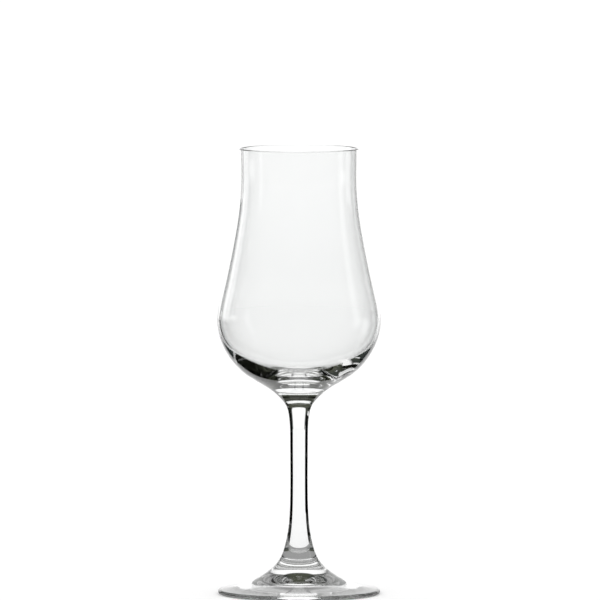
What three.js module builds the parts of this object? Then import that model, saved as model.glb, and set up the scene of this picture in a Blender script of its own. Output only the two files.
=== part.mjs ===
// Stemmed spirits glass in clear glass: a blown tulip bowl, a drawn stem and a spun foot.
// The three pieces are fused end to end on flat round faces. Millimetres, +Z up, with the
// origin at the middle of the foot, on the table. Each piece is turned about the Z axis.
import * as THREE from 'three';

// Main sizes: the heights of the three pieces and the widest radii
const footHeight = 16;
const stemLength = 60;
const bowlHeight = 104;
const footRadius = 32.65;
const bellyRadius = 32.93;
const rimRadius = 24;

// Fused joints: radius, and the slope of the outside there in degrees
const footJointRadius = 6.85;
const footJointSlope = 69;
const bowlJointRadius = 5.2;
const bowlJointSlope = 67;

// Foot, outside, from its edge up to the stem. A rise is the height above the station below it.
const footEdgeThickness = 1.9;
const footEdgeSlope = 5; // degrees of the upper face where it meets the edge
const brimRise = 1.7;
const brimRadius = 23.1;
const slopeRise = 3;
const slopeRadius = 16.2;
const throatRise = 3.9;
const throatRadius = 10.75;

// Foot, underside: a flat resting ring round a hollow, and the upright thickness of the glass over it
const restWidth = 1.9;
const hollowDepth = 6.1;
const throatThickness = 6.1;
const slopeThickness = 3.6;
const brimThickness = 2.9;

// Stem: a slim shaft between two flares
const ankleRise = 10;
const ankleRadius = 4.41;
const shaftRise = 12;
const shaftRadius = 3.6;
const napeLength = 14; // from the top of the shaft to the bowl
const napeRise = 9.2;
const napeRadius = 4;

// Bowl, outside, from the stem up to the belly
const bellyHeight = 33;
const collarRise = 2.9;
const collarRadius = 7.35;
const undersideRise = 3.6;
const undersideRadius = 11.4;
const baseRise = 5.5;
const baseRadius = 20.35;
const haunchRise = 10;
const haunchRadius = 29.45;

// Bowl, outside, between the belly and the neck, at evenly spaced heights, and the neck itself
const cheekRadius = 30.89;
const flankRadius = 27.78;
const shoulderRadius = 25.2;
const neckRadius = 23.92;
const neckLength = 14;

// Bowl, inside: the wall at each station down to the haunch, then a cone down to a small floor
const rimWall = 1;
const neckWall = 1.05;
const shoulderWall = 1.1;
const flankWall = 1.15;
const cheekWall = 1.2;
const bellyWall = 1.25;
const haunchWall = 2.2;
const baseThickness = 3.9; // upright, over the base station
const floorThickness = 3.65; // at the middle, over the underside station
const floorRadius = 8.4;
const floorRise = 0.55; // from the middle to the edge of the floor

// Fineness of the turned surfaces
const roundSegments = 48;
const longestStep = 5;
const edgeSteps = 6;

// Headings of an outline in degrees
const outward = 0;
const upward = 90;
const inward = 180;
const downward = -90;

const clearGlass = { color: 0xf4f6f5, roughness: 0.02, metalness: 0 };

// A station of an outline: its radius and its height in the piece
const station = (radius, height) => new THREE.Vector2(radius, height);

// The way an outline runs at an angle, in degrees up from the outward radius
function heading(degrees) {
  const angle = THREE.MathUtils.degToRad(degrees);
  return station(Math.cos(angle), Math.sin(angle));
}

// Station headings of the smooth cubic spline that starts and ends along two given headings.
// The spline runs by chord length, so the headings solve one tridiagonal system.
function splineHeadings(stations, spans, first, last) {
  const headings = [first.clone()];
  const weights = [0];
  for (let i = 1; i < stations.length - 1; i += 1) {
    const before = spans[i - 1];
    const after = spans[i];
    const arriving = stations[i].clone().sub(stations[i - 1]).multiplyScalar((3 * after) / before);
    const leaving = stations[i + 1].clone().sub(stations[i]).multiplyScalar((3 * before) / after);
    const pivot = 2 * (before + after) - after * weights[i - 1];
    weights.push(before / pivot);
    const known = arriving.add(leaving).addScaledVector(headings[i - 1], -after);
    headings.push(known.divideScalar(pivot));
  }
  headings.push(last.clone());
  for (let i = stations.length - 2; i > 0; i -= 1) {
    headings[i].addScaledVector(headings[i + 1], -weights[i]);
  }
  return headings;
}

// Points of the smooth line through the stations, the stations themselves among them
function smoothLine(stations, first, last) {
  const spans = stations.slice(1).map((point, i) => point.distanceTo(stations[i]));
  const headings = splineHeadings(stations, spans, first, last);
  const points = [stations[0].clone()];
  spans.forEach((span, i) => {
    const reach = span / 3;
    const curve = new THREE.CubicBezierCurve(
      stations[i],
      stations[i].clone().addScaledVector(headings[i], reach),
      stations[i + 1].clone().addScaledVector(headings[i + 1], -reach),
      stations[i + 1],
    );
    points.push(...curve.getPoints(Math.ceil(span / longestStep)).slice(1));
  });
  return points;
}

// Points of a round edge about a centre, between two angles in degrees
function roundEdge(centre, radius, from, to) {
  const points = [];
  for (let i = 0; i <= edgeSteps; i += 1) {
    const way = heading(THREE.MathUtils.lerp(from, to, i / edgeSteps));
    points.push(way.multiplyScalar(radius).add(centre));
  }
  return points;
}

// Heights that divide the space between two others evenly
function evenHeights(low, high, count) {
  return Array.from({ length: count }, (_, i) => THREE.MathUtils.lerp(low, high, (i + 1) / (count + 1)));
}

// A named glass solid turned about Z from an outline that runs up its outside
function turned(name, outline) {
  const geometry = new THREE.LatheGeometry(outline, roundSegments);
  geometry.rotateX(Math.PI / 2);
  const mesh = new THREE.Mesh(geometry, new THREE.MeshStandardMaterial(clearGlass));
  mesh.name = name;
  return mesh;
}

// Spun foot: hollow underside, flat resting ring, round edge and a trumpet up to the stem.
// The hollow follows the trumpet, station by station.
function makeFoot() {
  const edgeRadius = footEdgeThickness / 2;
  const edgeCentre = station(footRadius - edgeRadius, edgeRadius);
  const brimHeight = footEdgeThickness + brimRise;
  const slopeHeight = brimHeight + slopeRise;
  const throatHeight = slopeHeight + throatRise;
  const hollow = smoothLine(
    [
      station(0, hollowDepth),
      station(throatRadius, throatHeight - throatThickness),
      station(slopeRadius, slopeHeight - slopeThickness),
      station(brimRadius, brimHeight - brimThickness),
      station(edgeCentre.x - restWidth, 0),
    ],
    heading(outward),
    heading(outward),
  );
  const edge = roundEdge(edgeCentre, edgeRadius, downward, upward - footEdgeSlope);
  const edgeTop = edge.pop();
  const trumpet = smoothLine(
    [
      edgeTop,
      station(brimRadius, brimHeight),
      station(slopeRadius, slopeHeight),
      station(throatRadius, throatHeight),
      station(footJointRadius, footHeight),
    ],
    heading(inward - footEdgeSlope),
    heading(inward - footJointSlope),
  );
  return turned('foot', [...hollow, ...edge, ...trumpet, station(0, footHeight)]);
}

// Drawn stem: a slim shaft that flares to both joints
function makeStem() {
  const shaftHeight = ankleRise + shaftRise;
  const shaftTop = stemLength - napeLength;
  const side = smoothLine(
    [
      station(footJointRadius, 0),
      station(ankleRadius, ankleRise),
      station(shaftRadius, shaftHeight),
      station(shaftRadius, shaftTop),
      station(napeRadius, shaftTop + napeRise),
      station(bowlJointRadius, stemLength),
    ],
    heading(inward - footJointSlope),
    heading(bowlJointSlope),
  );
  return turned('stem', [station(0, 0), ...side, station(0, stemLength)]);
}

// Blown bowl: a collar on the stem, a heavy base, a belly and a straight neck with a melted rim.
// The inside runs down from the rim to the small floor.
function makeBowl() {
  const undersideHeight = collarRise + undersideRise;
  const floorHeight = undersideHeight + floorThickness;
  const baseHeight = undersideHeight + baseRise;
  const haunchHeight = baseHeight + haunchRise;
  const neckHeight = bowlHeight - neckLength;
  const [cheekHeight, flankHeight, shoulderHeight] = evenHeights(bellyHeight, neckHeight, 3);
  const lipRadius = rimWall / 2;
  const lipCentre = station(rimRadius - lipRadius, bowlHeight - lipRadius);
  const lip = roundEdge(lipCentre, lipRadius, outward, inward);
  const outside = smoothLine(
    [
      station(bowlJointRadius, 0),
      station(collarRadius, collarRise),
      station(undersideRadius, undersideHeight),
      station(baseRadius, baseHeight),
      station(haunchRadius, haunchHeight),
      station(bellyRadius, bellyHeight),
      station(cheekRadius, cheekHeight),
      station(flankRadius, flankHeight),
      station(shoulderRadius, shoulderHeight),
      station(neckRadius, neckHeight),
      lip[0],
    ],
    heading(bowlJointSlope),
    heading(upward),
  );
  const inside = smoothLine(
    [
      lip[edgeSteps],
      station(neckRadius - neckWall, neckHeight),
      station(shoulderRadius - shoulderWall, shoulderHeight),
      station(flankRadius - flankWall, flankHeight),
      station(cheekRadius - cheekWall, cheekHeight),
      station(bellyRadius - bellyWall, bellyHeight),
      station(haunchRadius - haunchWall, haunchHeight),
      station(baseRadius, baseHeight + baseThickness),
      station(floorRadius, floorHeight + floorRise),
      station(0, floorHeight),
    ],
    heading(downward),
    heading(inward),
  );
  return turned('bowl', [station(0, 0), ...outside, ...lip.slice(1, edgeSteps), ...inside]);
}

const glass = new THREE.Group();
const foot = makeFoot();
const stem = makeStem();
const bowl = makeBowl();
stem.position.z = footHeight;
bowl.position.z = footHeight + stemLength;
glass.add(foot, stem, bowl);

export default glass;
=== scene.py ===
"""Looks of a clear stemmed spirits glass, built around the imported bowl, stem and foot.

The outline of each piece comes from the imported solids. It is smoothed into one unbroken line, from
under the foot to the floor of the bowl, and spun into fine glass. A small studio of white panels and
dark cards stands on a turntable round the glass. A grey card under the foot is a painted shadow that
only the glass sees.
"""
import math

import bpy
import numpy as np
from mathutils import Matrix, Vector


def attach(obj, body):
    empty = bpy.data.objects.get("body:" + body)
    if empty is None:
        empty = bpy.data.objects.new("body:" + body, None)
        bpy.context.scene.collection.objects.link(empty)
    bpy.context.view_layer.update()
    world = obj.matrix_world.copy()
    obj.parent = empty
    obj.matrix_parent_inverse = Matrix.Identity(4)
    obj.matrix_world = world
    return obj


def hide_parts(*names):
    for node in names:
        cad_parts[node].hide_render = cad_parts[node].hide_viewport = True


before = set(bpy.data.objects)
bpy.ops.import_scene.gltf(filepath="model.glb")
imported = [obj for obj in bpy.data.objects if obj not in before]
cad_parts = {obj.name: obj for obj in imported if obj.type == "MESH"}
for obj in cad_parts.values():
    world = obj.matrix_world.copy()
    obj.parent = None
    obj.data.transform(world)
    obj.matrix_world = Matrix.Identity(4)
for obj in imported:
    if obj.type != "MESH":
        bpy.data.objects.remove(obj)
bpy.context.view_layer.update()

# The pieces from the table up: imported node, name of the fine piece, material slot
PIECES = (
    ("foot", "spun_foot", "foot_glass"),
    ("stem", "drawn_stem", "stem_glass"),
    ("bowl", "blown_bowl", "bowl_glass"),
)

# Fineness of the spun glass: longest step along the outline in metres, fewest steps in one span of
# the outline, and steps round the axis
LONGEST_STEP = 0.001
FEWEST_STEPS = 4
ROUND_STEPS = 160

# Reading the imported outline: points closer than this, in metres, are one, and neighbouring spans
# that differ by more than this factor belong to different curves
SAME_PLACE = 1e-6
UNEVEN = 3

# Headings of the outline, as radius and height, where it leaves the axis and where it comes back
OUTWARD = (1.0, 0.0)
INWARD = (-1.0, 0.0)

# Glass
GLASS_COLOUR = (0.985, 0.99, 0.988, 1.0)
GLASS_IOR = 1.52

# Fine detail of the glass. Lengths and heights are in metres, noise scales are per metre. The waves
# are broad on the blown bowl and the spun foot, and long and narrow on the drawn stem. The haze grows
# between the two noise values of its patches.
WAVE_HEIGHT = 0.00002
WAVE_DETAIL = 1.0
WAVE_LENGTHS = {"bowl": (0.03, 0.03, 0.02), "stem": (0.004, 0.004, 0.03), "foot": (0.02, 0.02, 0.02)}
HAZE_SCALE = 60.0
HAZE_DETAIL = 3.0
HAZE_PATCHES = (0.45, 0.75)
HAZE_ROUGHNESS = 0.012
SCUFF_REACH = 0.0002
SCUFF_ROUGHNESS = 0.3
SCUFF_SCALE = 900.0
SCUFF_DETAIL = 4.0

# Camera: it stands far off and looks slightly down, a little to the right of the stem's axis. Metres,
# but the sensor's width is in millimetres.
CAMERA_AWAY = 5.0
CAMERA_HEIGHT = 0.4985
AIM_HEIGHT = 0.11873
AIM_RIGHT = 0.0004
SENSOR_WIDTH = 36.0
VIEW_WIDTH = 0.2417

# Studio: standing panels that only the glass sees. Angles are in degrees from straight behind the
# glass, positive to the right of the camera; radii and heights are in metres. A glow of 1 is white,
# and a panel with no glow is a dark card.
PANELS = {
    "backdrop": {"radius": 1.5, "start": -31, "end": 34, "low": 0.0, "high": 1.5, "glow": 1.15,
                 "low_glow": 1.09, "soft_side": 8, "soft_low": 0.06, "soft_high": 0.4},
    "left_strip": {"radius": 0.51, "start": -84, "end": -60, "low": 0.085, "high": 0.15, "glow": 1.0,
                   "edge_glow": 0.03},
    "left_edge": {"radius": 0.49, "start": -66, "end": -42, "low": 0.05, "high": 0.26, "glow": 1.1,
                  "edge_glow": 0.03},
    "right_strip": {"radius": 0.5, "start": 84, "end": 100, "low": 0.0, "high": 0.5, "glow": 0.6,
                    "edge_glow": 0.03},
    "left_card": {"radius": 0.2, "start": -67, "end": -32, "low": 0.0, "high": 0.1, "glow": 0.0},
    "right_card": {"radius": 0.2, "start": 38, "end": 86, "low": 0.0, "high": 0.265, "glow": 0.0},
}

# How far a panel dims towards its sides, in degrees, and towards its top and bottom, in metres, where
# it doesn't say so itself, and the fineness of the panels
SOFT_SIDE = 4
SOFT_END = 0.03
PANEL_STEPS = 48
PANEL_ROWS = 24

# Floor: it glows faintly, and a thin gap of air stays between it and the glass
FLOOR_SIZE = 12.0
FLOOR_GLOW = 0.16
FLOOR_COLOUR = (0.92, 0.92, 0.92, 1.0)
FLOOR_HEIGHT = -0.0001

# Cards lying in that gap, which only the glass sees, with their inner and outer radius. The grey disc
# under the foot is a painted shadow.
FLOOR_CARDS = {
    # dark card that the glass sees in place of the floor at the sides and in front; by the foot it also
    # stands in as painted shadow
    "floor_card": {"near": 0.04, "far": 6.0, "start": 33, "end": 325, "glow": 0.0},
    # painted shadow: a grey disc that the glass sees in place of the shaded floor under and round its
    # foot
    "painted_shadow_under_foot": {"near": 0.0, "far": 0.04, "start": 0, "end": 360, "glow": 0.35},
}
CARD_HEIGHT = FLOOR_HEIGHT / 2
CARD_STEPS = 48

# World: white, but for the glass it has one colour at its level and another overhead, which is
# reached where the sine of the angle above level has this value
WHITE = (1.0, 1.0, 1.0, 1.0)
SURROUND_COLOUR = (0.03, 0.038, 0.04, 1.0)
CEILING_COLOUR = (0.075, 0.08, 0.06, 1.0)
CEILING_SINE = 0.6

# The most times that light is reflected or bent on its way
LONGEST_PATH = 32


def half_plane_outline(node):
    """Points (radius, height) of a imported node's outline on the +X side, from axis to axis."""
    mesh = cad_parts[node].data
    digits = round(-math.log10(SAME_PLACE))
    places = {}
    for vertex in mesh.vertices:
        x, y, z = vertex.co
        if abs(y) < SAME_PLACE and x > -SAME_PLACE:
            places[vertex.index] = (round(max(x, 0.0), digits), round(z, digits))
    neighbours = {place: set() for place in places.values()}
    for edge in mesh.edges:
        first, second = (places.get(index) for index in edge.vertices)
        if first and second and first != second:
            neighbours[first].add(second)
            neighbours[second].add(first)
    outline = [min(place for place in neighbours if place[0] == 0.0)]
    while len(outline) == 1 or outline[-1][0] > 0.0:
        outline.append(next(place for place in neighbours[outline[-1]] if place not in outline))
    return outline


def unbroken_line():
    """The outline of the whole glass, from under the foot to the floor of the bowl, and the indices of
    each piece's first and last point on it. Two pieces share the point at the edge of their joint."""
    line = []
    ends = {}
    for node, _, _ in PIECES:
        points = half_plane_outline(node)
        if line:
            points = points[1:]
        if node != PIECES[-1][0]:
            points = points[:-1]
        first = max(len(line) - 1, 0)
        line = line[:first] + points
        ends[node] = (first, len(line) - 1)
    return np.array(line), ends


def curve_end(points, i, step):
    """Heading at a point of the outline where the curve on one side of it ends."""
    near = (points[i + step] - points[i]) * step
    far = (points[i + 2 * step] - points[i + step]) * step
    near_length, far_length = np.linalg.norm(near), np.linalg.norm(far)
    near, far = near / near_length, far / far_length
    following = (near * far_length + far * near_length) / (near_length + far_length)
    return 2 * near - following


def spline_headings(points, spans, first, last):
    """Headings at the points of the cubic spline by chord length that starts and ends along two."""
    count = len(points)
    system = np.eye(count)
    known = np.zeros((count, 2))
    known[0] = first
    known[-1] = last
    for i in range(1, count - 1):
        before, after = spans[i - 1], spans[i]
        if max(before, after) > UNEVEN * min(before, after):
            known[i] = curve_end(points, i, 1 if after > before else -1)
            continue
        system[i, i - 1:i + 2] = after, 2 * (before + after), before
        arriving = (points[i] - points[i - 1]) * after / before
        leaving = (points[i + 1] - points[i]) * before / after
        known[i] = 3 * (arriving + leaving)
    return np.linalg.solve(system, known)


def draw_span(span, start, end, start_heading, end_heading):
    """Points and headings along one span of the spline, which has this chord length."""
    steps = max(FEWEST_STEPS, math.ceil(span / LONGEST_STEP))
    t = np.linspace(0, 1, steps + 1)[:, None]
    places = ((1 + 2 * t) * (1 - t) ** 2 * start + t * t * (3 - 2 * t) * end
              + span * t * (1 - t) * ((1 - t) * start_heading - t * end_heading))
    headings = (6 * t * (1 - t) * (end - start) / span
                + (1 - t) * (1 - 3 * t) * start_heading + t * (3 * t - 2) * end_heading)
    return places, headings / np.linalg.norm(headings, axis=1)[:, None]


def smooth_line(points, first, last):
    """A smooth line through the points: for each span its points and headings."""
    spans = np.linalg.norm(np.diff(points, axis=0), axis=1)
    headings = spline_headings(points, spans, first, last)
    return [draw_span(span, points[i], points[i + 1], headings[i], headings[i + 1])
            for i, span in enumerate(spans)]


def spun_surface(places, headings):
    """Vertices, normals and faces of a line spun about Z, and whether each face is a fused one. An end
    of the line that isn't on the axis is closed by a flat fused face."""
    angles = np.linspace(0, 2 * math.pi, ROUND_STEPS, endpoint=False)
    around = np.stack([np.cos(angles), np.sin(angles)], axis=1)
    vertices, normals, faces, fused = [], [], [], []

    def ring(radius, height, out, up):
        start = len(vertices)
        if radius < SAME_PLACE:
            vertices.append((0.0, 0.0, height))
            normals.append((0.0, 0.0, -out))
            return [start] * ROUND_STEPS
        vertices.extend((radius * x, radius * y, height) for x, y in around)
        normals.extend((up * x, up * y, -out) for x, y in around)
        return list(range(start, start + ROUND_STEPS))

    def band(lower, upper, at_joint):
        for i in range(ROUND_STEPS):
            j = (i + 1) % ROUND_STEPS
            faces.append(list(dict.fromkeys((lower[i], lower[j], upper[j], upper[i]))))
            fused.append(at_joint)

    rings = [ring(*place, *heading) for place, heading in zip(places, headings)]
    for lower, upper in zip(rings, rings[1:]):
        band(lower, upper, False)
    if places[0][0] > SAME_PLACE:
        band(ring(0.0, places[0][1], *OUTWARD), rings[0], True)
    if places[-1][0] > SAME_PLACE:
        band(rings[-1], ring(0.0, places[-1][1], *INWARD), True)
    return vertices, normals, faces, fused


def new_mesh(name, vertices, faces):
    """A mesh of these vertices and faces."""
    mesh = bpy.data.meshes.new(name)
    mesh.from_pydata(vertices, [], faces)
    return mesh


def link_new(name, data):
    """A new object in the scene that holds a mesh or a camera, or nothing."""
    item = bpy.data.objects.new(name, data)
    bpy.context.scene.collection.objects.link(item)
    return item


def spin(name, places, headings, surface, joint):
    """A closed piece of glass spun about Z from its part of the line."""
    vertices, normals, faces, fused = spun_surface(places, headings)
    mesh = new_mesh(name, vertices, faces)
    mesh.materials.append(surface)
    mesh.materials.append(joint)
    mesh.polygons.foreach_set("material_index", [int(at_joint) for at_joint in fused])
    mesh.polygons.foreach_set("use_smooth", [not at_joint for at_joint in fused])
    mesh.normals_split_custom_set_from_vertices(normals)
    mesh.validate()
    return link_new(name, mesh)


def new_material(name):
    """An empty material, with its nodes and links."""
    material = bpy.data.materials.new(name)
    material.use_nodes = True
    material.node_tree.nodes.clear()
    return material, material.node_tree.nodes, material.node_tree.links


def noise(nodes, links, vector, scale, detail):
    """Smooth noise from 0 to 1 over a vector."""
    texture = nodes.new("ShaderNodeTexNoise")
    texture.inputs["Scale"].default_value = scale
    texture.inputs["Detail"].default_value = detail
    links.new(vector, texture.inputs["Vector"])
    return texture.outputs["Fac"]


def spread(nodes, links, value, low, high, at_low, at_high):
    """A value between low and high, taken to the range from at_low to at_high."""
    change = nodes.new("ShaderNodeMapRange")
    for name, number in (("From Min", low), ("From Max", high), ("To Min", at_low), ("To Max", at_high)):
        change.inputs[name].default_value = number
    links.new(value, change.inputs["Value"])
    return change.outputs["Result"]


def waves(nodes, links, place, lengths):
    """The faint waves that blowing, drawing or spinning leaves, of these lengths along X, Y and Z."""
    stretch = nodes.new("ShaderNodeMapping")
    stretch.inputs["Scale"].default_value = [1 / length for length in lengths]
    links.new(place.outputs["Object"], stretch.inputs["Vector"])
    bump = nodes.new("ShaderNodeBump")
    bump.inputs["Distance"].default_value = WAVE_HEIGHT
    height = noise(nodes, links, stretch.outputs["Vector"], 1.0, WAVE_DETAIL)
    links.new(height, bump.inputs["Height"])
    return bump.outputs["Normal"]


def scuffed(nodes, links, place, haze):
    """The haze, made rougher by fine scuffs where the foot rubs on the table."""
    split = nodes.new("ShaderNodeSeparateXYZ")
    links.new(place.outputs["Object"], split.inputs["Vector"])
    near_table = spread(nodes, links, split.outputs["Z"], 0.0, SCUFF_REACH, SCUFF_ROUGHNESS, 0.0)
    scuff = nodes.new("ShaderNodeMath")
    scuff.operation = "MULTIPLY_ADD"
    links.new(near_table, scuff.inputs[0])
    links.new(noise(nodes, links, place.outputs["Object"], SCUFF_SCALE, SCUFF_DETAIL), scuff.inputs[1])
    links.new(haze, scuff.inputs[2])
    return scuff.outputs["Value"]


def clear_glass(name, wave_lengths, rubs):
    """Clear fire-polished glass: faintly wavy and, in patches, faintly hazy."""
    material, nodes, links = new_material(name)
    output = nodes.new("ShaderNodeOutputMaterial")
    glass = nodes.new("ShaderNodeBsdfPrincipled")
    glass.inputs["Base Color"].default_value = GLASS_COLOUR
    glass.inputs["IOR"].default_value = GLASS_IOR
    glass.inputs["Transmission Weight"].default_value = 1.0
    place = nodes.new("ShaderNodeTexCoord")
    patches = noise(nodes, links, place.outputs["Object"], HAZE_SCALE, HAZE_DETAIL)
    haze = spread(nodes, links, patches, *HAZE_PATCHES, 0.0, HAZE_ROUGHNESS)
    if rubs:
        haze = scuffed(nodes, links, place, haze)
    links.new(haze, glass.inputs["Roughness"])
    links.new(waves(nodes, links, place, wave_lengths), glass.inputs["Normal"])
    links.new(glass.outputs["BSDF"], output.inputs["Surface"])
    return material


def fused_face(name):
    """A fused joint, where the glass runs on and nothing shows."""
    material, nodes, links = new_material(name)
    output = nodes.new("ShaderNodeOutputMaterial")
    through = nodes.new("ShaderNodeBsdfTransparent")
    links.new(through.outputs["BSDF"], output.inputs["Surface"])
    return material


def make_glass():
    """The three pieces of glass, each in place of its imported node."""
    line, ends = unbroken_line()
    drawn = smooth_line(line, OUTWARD, INWARD)
    joint = fused_face("fused_joint")
    for node, name, slot in PIECES:
        first, last = ends[node]
        spans = drawn[first:last]
        places = np.concatenate([spans[0][0][:1]] + [place[1:] for place, _ in spans])
        headings = np.concatenate([spans[0][1][:1]] + [heading[1:] for _, heading in spans])
        places[:, 1] = np.maximum(places[:, 1], 0.0)
        surface = clear_glass(slot, WAVE_LENGTHS[node], node == "foot")
        piece = spin(name, places, headings, surface, joint)
        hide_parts(node)
        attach(piece, "root")


def make_camera():
    """The camera at the photograph's viewing angle."""
    data = bpy.data.cameras.new("camera")
    camera = link_new("camera", data)
    aim = Vector((AIM_RIGHT, 0.0, AIM_HEIGHT))
    camera.location = (AIM_RIGHT, -CAMERA_AWAY, CAMERA_HEIGHT)
    sight = aim - camera.location
    camera.rotation_euler = sight.to_track_quat("-Z", "Y").to_euler()
    data.sensor_width = SENSOR_WIDTH
    data.lens = SENSOR_WIDTH * sight.length / VIEW_WIDTH
    data.clip_end = 2 * FLOOR_SIZE
    bpy.context.scene.camera = camera
    return camera


def make_turntable(camera):
    """The studio stands on it and faces the camera, as when the glass is turned before a fixed set."""
    table = link_new("turntable", None)
    track = table.constraints.new("LOCKED_TRACK")
    track.target = camera
    track.track_axis = "TRACK_NEGATIVE_Y"
    track.lock_axis = "LOCK_Z"
    return table


def glowing(name):
    """White light of the strength that the panel's own attribute says."""
    material, nodes, links = new_material(name)
    output = nodes.new("ShaderNodeOutputMaterial")
    light = nodes.new("ShaderNodeEmission")
    glow = nodes.new("ShaderNodeAttribute")
    glow.attribute_name = "glow"
    links.new(glow.outputs["Fac"], light.inputs["Strength"])
    links.new(light.outputs["Emission"], output.inputs["Surface"])
    return material


def link_panel(name, table, vertices, faces, strengths):
    """A panel or card of the studio, which only the glass sees."""
    mesh = new_mesh(name, vertices, faces)
    mesh.attributes.new("glow", "FLOAT", "POINT").data.foreach_set("value", strengths)
    mesh.materials.append(glowing(name))
    panel = link_new(name, mesh)
    panel.parent = table
    panel.visible_camera = False
    panel.visible_diffuse = False
    panel.visible_shadow = False


def eased(fraction):
    """From 0 to 1 with a soft start and a soft end."""
    fraction = min(1.0, max(0.0, fraction))
    return fraction * fraction * (3 - 2 * fraction)


def on_arc(radius, angle, height):
    """A place at a radius from the axis and an angle from straight behind the glass."""
    turn = math.radians(angle)
    return radius * math.sin(turn), radius * math.cos(turn), height


def arc_panel(name, table, radius, start, end, low, high, glow, low_glow=0.0, edge_glow=0.0,
              soft_side=SOFT_SIDE, soft_low=SOFT_END, soft_high=SOFT_END):
    """A standing curved panel that dims towards its edges."""
    vertices, strengths = [], []
    for i in range(PANEL_STEPS + 1):
        angle = start + (end - start) * i / PANEL_STEPS
        side = eased(min(angle - start, end - angle) / soft_side)
        for j in range(PANEL_ROWS + 1):
            height = low + (high - low) * j / PANEL_ROWS
            rise = low_glow + (glow - low_glow) * eased((height - low) / soft_low)
            vertices.append(on_arc(radius, angle, height))
            strengths.append(max(edge_glow, side * rise * eased((high - height) / soft_high)))
    faces = []
    for i in range(PANEL_STEPS):
        for j in range(PANEL_ROWS):
            corner = i * (PANEL_ROWS + 1) + j
            faces.append((corner, corner + PANEL_ROWS + 1, corner + PANEL_ROWS + 2, corner + 1))
    link_panel(name, table, vertices, faces, strengths)


def floor_card(name, table, near, far, start, end, glow):
    """A card lying just above the floor, between two radii and two angles."""
    vertices = []
    for i in range(CARD_STEPS + 1):
        angle = start + (end - start) * i / CARD_STEPS
        vertices.append(on_arc(near, angle, CARD_HEIGHT))
        vertices.append(on_arc(far, angle, CARD_HEIGHT))
    faces = [(2 * i, 2 * i + 1, 2 * i + 3, 2 * i + 2) for i in range(CARD_STEPS)]
    link_panel(name, table, vertices, faces, [glow] * len(vertices))


def floor_paint():
    """Pale paint that also glows faintly, so that the floor stays pale and keeps the shadow."""
    material, nodes, links = new_material("floor")
    output = nodes.new("ShaderNodeOutputMaterial")
    both = nodes.new("ShaderNodeAddShader")
    glow = nodes.new("ShaderNodeEmission")
    glow.inputs["Strength"].default_value = FLOOR_GLOW
    paint = nodes.new("ShaderNodeBsdfDiffuse")
    paint.inputs["Color"].default_value = FLOOR_COLOUR
    links.new(glow.outputs["Emission"], both.inputs[0])
    links.new(paint.outputs["BSDF"], both.inputs[1])
    links.new(both.outputs["Shader"], output.inputs["Surface"])
    return material


def make_floor():
    """A plain pale square, with the glass in its middle."""
    half = FLOOR_SIZE / 2
    corners = [(x * half, y * half, FLOOR_HEIGHT) for x, y in ((-1, -1), (1, -1), (1, 1), (-1, 1))]
    mesh = new_mesh("floor", corners, [(0, 1, 2, 3)])
    mesh.materials.append(floor_paint())
    link_new("floor", mesh)


def dim_surroundings(nodes, links):
    """The world that the glass sees beyond the panels."""
    dim = nodes.new("ShaderNodeBackground")
    place = nodes.new("ShaderNodeTexCoord")
    split = nodes.new("ShaderNodeSeparateXYZ")
    blend = nodes.new("ShaderNodeValToRGB")
    level, overhead = blend.color_ramp.elements
    level.color = SURROUND_COLOUR
    overhead.color = CEILING_COLOUR
    overhead.position = CEILING_SINE
    links.new(place.outputs["Generated"], split.inputs["Vector"])
    links.new(split.outputs["Z"], blend.inputs["Fac"])
    links.new(blend.outputs["Color"], dim.inputs["Color"])
    return dim.outputs["Background"]


def make_world():
    """White for the camera and for the floor's light, dim for what the glass reflects and bends."""
    world = bpy.data.worlds.new("studio")
    bpy.context.scene.world = world
    world.use_nodes = True
    nodes, links = world.node_tree.nodes, world.node_tree.links
    nodes.clear()
    output = nodes.new("ShaderNodeOutputWorld")
    choose = nodes.new("ShaderNodeMixShader")
    path = nodes.new("ShaderNodeLightPath")
    by_glass = nodes.new("ShaderNodeMath")
    by_glass.operation = "MAXIMUM"
    white = nodes.new("ShaderNodeBackground")
    white.inputs["Color"].default_value = WHITE
    links.new(path.outputs["Is Glossy Ray"], by_glass.inputs[0])
    links.new(path.outputs["Is Transmission Ray"], by_glass.inputs[1])
    links.new(by_glass.outputs["Value"], choose.inputs["Fac"])
    links.new(white.outputs["Background"], choose.inputs[1])
    links.new(dim_surroundings(nodes, links), choose.inputs[2])
    links.new(choose.outputs["Shader"], output.inputs["Surface"])


def allow_long_paths():
    """Light that is carried round inside the heavy base isn't cut off early."""
    limits = bpy.context.scene.cycles
    limits.max_bounces = LONGEST_PATH
    limits.glossy_bounces = LONGEST_PATH
    limits.transmission_bounces = LONGEST_PATH


make_glass()
turntable = make_turntable(make_camera())
for panel_name, panel_sizes in PANELS.items():
    arc_panel(panel_name, turntable, **panel_sizes)
for card_name, card_sizes in FLOOR_CARDS.items():
    floor_card(card_name, turntable, **card_sizes)
make_floor()
make_world()
bpy.context.scene.view_settings.view_transform = "Standard"
allow_long_paths()

bpy.context.view_layer.update()
